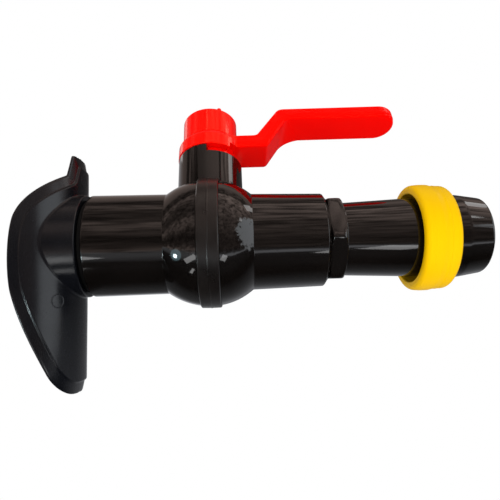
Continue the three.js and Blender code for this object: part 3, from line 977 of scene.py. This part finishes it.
def handle():
    """The lever, its hub and its part skirt, with room for the stem's square and its screw."""
    cap_r = CAP_HIGH.x
    cap_bottom = CAP_LOW.z
    boss_r = cap_r - 2.1
    hub = revolve("handle_fine", rounded([
        (HUB_BOTTOM, SCREW_HOLE_R, 0),
        (HUB_BOTTOM, HUB_BOTTOM_R, 0.5),
        (HUB_SHOULDER, HUB_BOTTOM_R - 0.1, 1.6),
        (cap_bottom - GAP - 0.5, cap_r + 0.5, 0.6),
        (cap_bottom - GAP, cap_r - 0.3, 0.3),
        (cap_bottom - GAP, boss_r, 0),
        (CAP_BOSS_TOP, boss_r, 0.4),
        (CAP_BOSS_TOP, SCREW_POCKET_R, 0.3),
        (SCREW_POCKET_FLOOR, SCREW_POCKET_R, 0),
        (SCREW_POCKET_FLOOR, SCREW_HOLE_R, 0),
    ]), axis="Z")
    skirt = sector("skirt", rounded([
        (SKIRT_BOTTOM, STEM_BORE_R, 0.3),
        (SKIRT_BOTTOM, SKIRT_R, 0.5),
        (LEVER_LOW + 0.5, SKIRT_R, 0),
        (LEVER_LOW + 0.5, STEM_BORE_R, 0),
    ]), STOP_END + STOP_SLACK - 360, STOP_START - 90 - STOP_SLACK)
    lip_gap = sector("lip_gap", rounded([
        (HUB_BOTTOM - 1, SKIRT_R - 0.5, 0),
        (HUB_BOTTOM - 1, HUB_BOTTOM_R + 1, 0),
        (LEVER_LOW + 0.02, HUB_BOTTOM_R + 1, 0),
        (LEVER_LOW + 0.02, SKIRT_R - 0.5, 0),
    ]), -LIP_END, LIP_END)
    combine(hub, lip_gap, "DIFFERENCE")
    arm = lever()
    clearance = revolve("clearance", rounded([
        (cap_bottom - GAP, 1, 0), (cap_bottom - GAP, cap_r + GAP, 0),
        (FAR, cap_r + GAP, 0), (FAR, 1, 0),
    ]), axis="Z")
    combine(arm, clearance, "DIFFERENCE")
    combine(hub, arm, "UNION")
    combine(hub, skirt, "UNION")
    half = STEM_SQUARE_HALF
    square = block("square", (-half, -half, SKIRT_BOTTOM - 1), (half, half, STEM_SQUARE_TOP))
    combine(hub, square, "DIFFERENCE")
    finished(hub, "handle_stem", RED, "red", "handle", sharp=33)


def handle_cap():
    """The cap over the hub, and the moulding pip at its rim."""
    radius = CAP_HIGH.x
    top = CAP_HIGH.z
    bottom = CAP_LOW.z
    cup = revolve("handle_cap_fine", rounded([
        (top - 2.2, 0, 0),
        (top - 2.2, radius - 1.8, 0.4),
        (bottom, radius - 1.8, 0.3),
        (bottom, radius, 0.35),
        (top, radius, 1.1),
        (top, radius - 2.6, 0.4),
        (top - 0.35, radius - 3.1, 0.4),
        (top - 0.35, 0, 0),
    ], closed=False), axis="Z")
    finished(cup, "handle_stem", RED, "red", "handle_cap")
    pip_r = 1.3
    pip = revolve("handle_cap_pip", rounded([
        (-3.2, 0, 0), (-3.2, pip_r, 0.4), (1.2, pip_r, 1.1), (1.2, 0, 0),
    ], closed=False), axis="Z", sides=40)
    angle = math.radians(-66)
    reach = radius - pip_r
    pip.data.transform(Matrix.Translation(
        Vector((reach * math.cos(angle), reach * math.sin(angle), top)) * MM
    ))
    finished(pip, "handle_stem", RED, "red")


# The hose tail and its ring
def hexagon(limit):
    """Radius of the hexagon by angle, cut back to a limit at its corners."""
    def radius(angle):
        turn = (angle - HEX_CORNER_ANGLE + math.pi / 6) % (math.pi / 3) - math.pi / 6
        flat = HEX_FLATS / 2 / math.cos(math.pi / 6 - abs(turn))
        soft = 0.35
        return flat - soft * math.log1p(math.exp((flat - limit) / soft))
    return radius


def hose_tail():
    """The threaded stub, the hexagon and the barrel, turned as one with its bore."""
    corner = HEX_FLATS / math.sqrt(3)
    stub = rounded([
        (TAIL_START, TAIL_BORE_R, 0.3),
        (TAIL_START, TAIL_THREAD_R, 1.0),
        (HEX_START - 0.4, TAIL_THREAD_R, 0),
        (HEX_START, TAIL_THREAD_R, 0),
    ], closed=False)
    stub = [Vector((TAIL_START, TAIL_BORE_R + 0.3))] + stub[1:]
    head = [
        (HEX_START, hexagon(corner - 1.9)),
        (HEX_START + 0.15, hexagon(corner - 1.4)),
        (HEX_START + 0.5, hexagon(corner - 0.75)),
        (HEX_START + 1.0, hexagon(corner - 0.3)),
        (HEX_START + 2.5, hexagon(corner - 0.2)),
        (HEX_END - 2.6, hexagon(corner - 0.2)),
        (HEX_END - 1.4, hexagon(corner - 0.6)),
        (HEX_END - 0.5, hexagon(corner - 1.7)),
        (HEX_END - 0.12, hexagon(corner - 2.5)),
        (HEX_END, hexagon(corner - 2.9)),
    ]
    barrel = rounded([
        (HEX_END, TAIL_THREAD_R + 0.3, 0),
        (HEX_END, TAIL_ROOT_R, 0.7),
        (TAIL_MAX_X, TAIL_MAX_R + 0.05, 6.0),
        (TAIL_END, TAIL_TIP_R - 0.1, 1.5),
        (TAIL_END, TAIL_BORE_R, 0.7),
        (TAIL_START, TAIL_BORE_R, 0),
    ], closed=False)
    barrel = barrel[:-1] + [Vector((TAIL_START + 0.3, TAIL_BORE_R))]
    piece = revolve("hose_tail_fine", stub + head + barrel, sides=240)
    finished(piece, "valve_body", GLOSS_BLACK, "gloss_black", "hose_tail", sharp=40)


def lock_ring():
    """The loose ring, lying on the tail: a rounded side, a waist with a fine line, and a lip."""
    outer = (RING_HIGH.y - RING_LOW.y) / 2
    drop = -(RING_HIGH.z + RING_LOW.z) / 2
    start, end = RING_LOW.x, RING_HIGH.x
    bore = outer - 4.35
    line = rounded([
        (start, bore + 0.1, 0.7),
        (start, outer - 0.35, 2.4),
        (start + 4.5, outer + 0.05, 5.0),
        (start + 8.2, outer, 3.0),
        (start + 10.4, outer - 0.62, 2.5),
        (start + 11.6, outer - 0.64, 0),
        (start + 11.85, outer - 0.48, 0.2),
        (start + 12.1, outer - 0.66, 0),
        (end - 0.2, outer - 0.8, 2.6),
        (end, bore, 1.2),
    ])
    piece = revolve("lock_ring_fine", line, sides=200, drop=drop)
    finished(piece, "lock_ring", YELLOW, "yellow", "lock_ring")


def carried_over():
    """Sealed inner pieces keep their CAD shape and get their material."""
    materials = {
        RUBBER: ("seat_ring_inlet", "seat_ring_outlet", "stem_ring_lower", "stem_ring_upper",
                 "tail_gasket"),
        WHITE: ("stem_washer",),
        STEEL: ("handle_screw", "screw_washer"),
        GLOSS_BLACK: ("stem",),
    }
    for material, nodes in materials.items():
        for node in nodes:
            mesh = frame["nodes"][node].data
            mesh.materials.clear()
            mesh.materials.append(material)


# The studio
def camera():
    forward = Vector((
        math.sin(CAMERA_YAW) * math.cos(CAMERA_PITCH),
        math.cos(CAMERA_YAW) * math.cos(CAMERA_PITCH),
        math.sin(CAMERA_PITCH),
    ))
    level = Vector((math.cos(CAMERA_YAW), -math.sin(CAMERA_YAW), 0))
    upright = level.cross(forward)
    right = level * math.cos(CAMERA_ROLL) + upright * math.sin(CAMERA_ROLL)
    up = right.cross(forward)
    data = bpy.data.cameras.new("camera")
    data.sensor_width = SENSOR
    data.lens = LENS
    data.shift_x = SHIFT_X
    data.shift_y = SHIFT_Y
    data.clip_start = 0.01
    eye = bpy.data.objects.new("camera", data)
    axes = Matrix((right, up, -forward)).transposed().to_4x4()
    eye.matrix_world = Matrix.Translation(BALL + CAMERA_PLACE * MM) @ axes
    bpy.context.scene.collection.objects.link(eye)
    bpy.context.scene.camera = eye


def floor():
    bm = bmesh.new()
    bmesh.ops.create_grid(bm, x_segments=8, y_segments=8, size=6)
    mesh = bpy.data.meshes.new("floor")
    bm.to_mesh(mesh)
    bm.free()
    piece = bpy.data.objects.new("floor", mesh)
    piece.location = (BALL.x, 0, FLOOR_Z)
    bpy.context.scene.collection.objects.link(piece)
    t = new_material("floor")
    tint = t.ramp(t.noise(3, 2), (0.3, (0.80, 0.80, 0.80)), (0.7, (0.83, 0.83, 0.83)))
    feed(t, tint, "Base Color")
    t.shader.inputs["Roughness"].default_value = 0.9
    mesh.materials.append(t.material)
    piece.visible_glossy = False


def softbox(name, place, target, size, power, colour=(1, 1, 1), shape="RECTANGLE",
            glossy=False, diffuse=True):
    """An area light at a place in millimetres from the ball's centre, facing a target.

    By default it lights the object, but isn't seen in reflections."""
    data = bpy.data.lights.new(name, "AREA")
    data.shape = shape
    data.size, data.size_y = size[0] * MM, size[1] * MM
    data.energy = power
    data.color = colour
    lamp = bpy.data.objects.new(name, data)
    turn = (Vector(target) - Vector(place)).to_track_quat("-Z", "Y").to_matrix().to_4x4()
    lamp.matrix_world = Matrix.Translation(BALL + Vector(place) * MM) @ turn
    lamp.visible_camera = False
    lamp.visible_glossy = glossy
    lamp.visible_diffuse = diffuse
    bpy.context.scene.collection.objects.link(lamp)


# What the glossy surfaces mirror: brightness by angle about the flow axis, in degrees, from the
# front horizon (0) over the top (90) to the back (180), and below the horizon (negative). The
# levels were worked out from how bright the streaks along the photographed pipes are, and then
# adjusted.
ROOM_LEFT = [
    (-180, 0.35), (-165, 0.16), (-142, 0.13), (-122, 0.01), (-91, 0.015), (-77, 0.05),
    (-65, 0.04), (-60, 0.3), (-53, 0.62), (-46, 0.62), (-40, 0.85), (-34, 0.3), (-27, 0.16),
    (-16, 0.05), (-9, 0.12), (-3, 0.24), (8, 0.55), (22, 0.65), (27, 0.3), (36, 0.17), (48, 0.26),
    (55, 0.2), (60, 0.5), (70, 0.5), (75, 0.14), (88, 0.12), (92, 0.42), (115, 0.42), (150, 0.6),
    (180, 0.7),
]
ROOM_RIGHT = [
    (-180, 0.5), (-149, 0.26), (-127, 0.12), (-109, 0.005), (-94, 0.01), (-79, 0.05), (-66, 0.06),
    (-56, 0.12), (-54.5, 1.5), (-51.5, 1.5), (-50, 0.26), (-40, 0.16), (-27, 0.11), (-15, 0.22),
    (-8, 0.24), (-2, 0.36), (11, 0.45), (20, 0.42), (24, 0.7), (39, 0.75), (42, 1.0), (54, 0.7),
    (60, 1.05), (72, 0.95), (76, 0.3), (88, 0.26), (92, 0.5), (101, 0.5), (112, 0.14), (150, 0.1),
    (180, 0.4),
]
ROOM_BLEND = (-0.14, 0.04)
WARM = (1, 0.77, 0.68)
COOL = (0.93, 0.95, 1)
WARM_ANGLES = (-45, 125)
CLUTTER_ANGLES = (-46.8, 90)
SKY_PATCH = Vector((0.92, -0.36, 0.06)).normalized()
SKY_LIGHT = (2.0, 2.1, 2.2, 1)
SOFT_LIGHT = (0.75, 0.75, 0.75, 1)
BACKDROP = (1, 1, 1, 1)


def room_stops(profile):
    """A brightness profile as stops of a colour ramp, warm in front and cool elsewhere."""
    stops = []
    for degrees, light in profile:
        tint = WARM if WARM_ANGLES[0] < degrees < WARM_ANGLES[1] else COOL
        stops.append((degrees / 360 + 0.5, tuple(light * c for c in tint)))
    return stops


def mixed(tree, share, one, two):
    """One colour turning into another. Each is a node's output or a colour."""
    node = tree.nodes.new("ShaderNodeMix")
    node.data_type = "RGBA"
    tree.links.new(share, node.inputs["Factor"])
    for socket, value in zip((node.inputs["A"], node.inputs["B"]), (one, two)):
        if isinstance(value, tuple):
            socket.default_value = value
        else:
            tree.links.new(value, socket)
    return node.outputs["Result"]


def vector_node(tree, operation, source):
    node = tree.nodes.new("ShaderNodeVectorMath")
    node.operation = operation
    tree.links.new(source, node.inputs[0])
    return node


def world():
    """A white backdrop for the camera, soft light for dull surfaces and a room for shiny ones."""
    scene_world = bpy.data.worlds.new("room")
    bpy.context.scene.world = scene_world
    scene_world.use_nodes = True
    tree = scene_world.node_tree
    t = tree_tools(tree, tree.nodes.new("ShaderNodeTexCoord").outputs["Generated"])
    way = tree.nodes.new("ShaderNodeSeparateXYZ")
    tree.links.new(t.place, way.inputs["Vector"])

    front = t.maths("MULTIPLY", way.outputs["Y"], -1.0)
    angle = t.maths("ARCTAN2", way.outputs["Z"], front)
    sway = t.maths("MULTIPLY", t.maths("SUBTRACT", t.noise(3.5, 2), 0.5), 0.035)
    share = t.maths("ADD", t.maths("ADD", t.maths("DIVIDE", angle, math.tau), 0.5), sway)
    side = t.spread(way.outputs["X"], 0, 1, *ROOM_BLEND, blend="SMOOTHSTEP")
    left = t.ramp(share, *room_stops(ROOM_LEFT))
    room = mixed(tree, side, left, t.ramp(share, *room_stops(ROOM_RIGHT)))

    leaves = t.noise(11, 6, distortion=0.6)
    low, high = (degrees / 360 + 0.5 for degrees in CLUTTER_ANGLES)
    off_middle = t.maths("ABSOLUTE", t.maths("SUBTRACT", share, (low + high) / 2))
    cluttered = t.maths("LESS_THAN", off_middle, (high - low) / 2)
    swing = t.maths("SUBTRACT", t.spread(leaves, 0.3, 1.7, 0.36, 0.64), 1.0)
    dimmed = vector_node(tree, "SCALE", room)
    tree.links.new(t.maths("ADD", t.maths("MULTIPLY", swing, cluttered), 1.0),
                   dimmed.inputs["Scale"])

    toward = vector_node(tree, "DOT_PRODUCT", t.place)
    toward.inputs[1].default_value = SKY_PATCH
    ragged = t.maths("MULTIPLY", t.maths("SUBTRACT", leaves, 0.5), 0.22)
    sky = t.spread(t.maths("ADD", toward.outputs["Value"], ragged), 0, 1, 0.925, 0.94)
    room = mixed(tree, sky, dimmed.outputs["Vector"], SKY_LIGHT)

    path = tree.nodes.new("ShaderNodeLightPath")
    lit = mixed(tree, path.outputs["Is Glossy Ray"], SOFT_LIGHT, room)
    seen = mixed(tree, path.outputs["Is Camera Ray"], lit, BACKDROP)
    tree.links.new(seen, tree.nodes["Background"].inputs["Color"])


def reflected(name, way, size, radiance, colour=(1, 1, 1), mirror=(0, -22, -18),
              shape="RECTANGLE"):
    """A panel that is only seen in reflections, out along a way from the spot that mirrors it.

    Its size is in degrees, as seen from that spot."""
    distance = 500
    width, height = (2 * distance * math.tan(math.radians(angle / 2)) for angle in size)
    power = radiance * math.pi * width * height * MM * MM
    place = Vector(mirror) + Vector(way).normalized() * distance
    softbox(name, place, mirror, (width, height), power, colour, shape, glossy=True, diffuse=False)


def lights():
    """Soft lights for colour and shape, then what the casing, the neck and the tail mirror."""
    on_ball = (-14, -22, -18)
    teal = (0.55, 0.9, 1)
    pale = (1, 0.97, 0.96)
    softbox("fill_front", (60, -700, -160), (30, 0, 10), (900, 600), 2.9)
    softbox("fill_under", (70, -120, -290), (60, 0, 10), (700, 500), 1.7)
    softbox("fill_top", (-100, -250, 700), (20, 0, 0), (800, 500), 1.6)
    reflected("star", (-0.805, -0.298, -0.512), (6, 6), 50, (0.8, 0.97, 1), on_ball, "ELLIPSE")
    reflected("star_glow", (-0.79, -0.33, -0.50), (20, 18), 1.3, teal, on_ball, "ELLIPSE")
    reflected("window_left", (-0.49, -0.464, -0.738), (20, 9), 3.6, mirror=(-8, -23, -20))
    reflected("window_low", (-0.431, -0.137, -0.892), (10, 4), 4, mirror=(-7, -19, -24))
    reflected("window_right", (0.399, -0.499, -0.769), (9, 11), 3.6, mirror=(7, -23, -20))
    reflected("panel_high", (0.765, -0.13, 0.63), (13, 10), 2.6, pale, (10, -12, 45))
    reflected("panel_left", (-0.60, 0.44, 0.665), (14, 10), 1.1, pale, (-13, -7, 60))
    reflected("pole", (-0.135, -0.727, 0.673), (2, 14), 3, (1, 0.85, 0.75), (-1, -15, 64))
    reflected("tip_window", (0.656, -0.654, 0.378), (5, 5.5), 3.6, mirror=(124.6, -19.6, -1))


camera()
floor()
world()
lights()
saddle_plate()
saddle_seal()
saddle_marks()
casing()
weld_band()
inlet_ring()
ball()
seats()
handle()
handle_cap()
hose_tail()
lock_ring()
carried_over()
bpy.context.scene.view_settings.view_transform = "Standard"
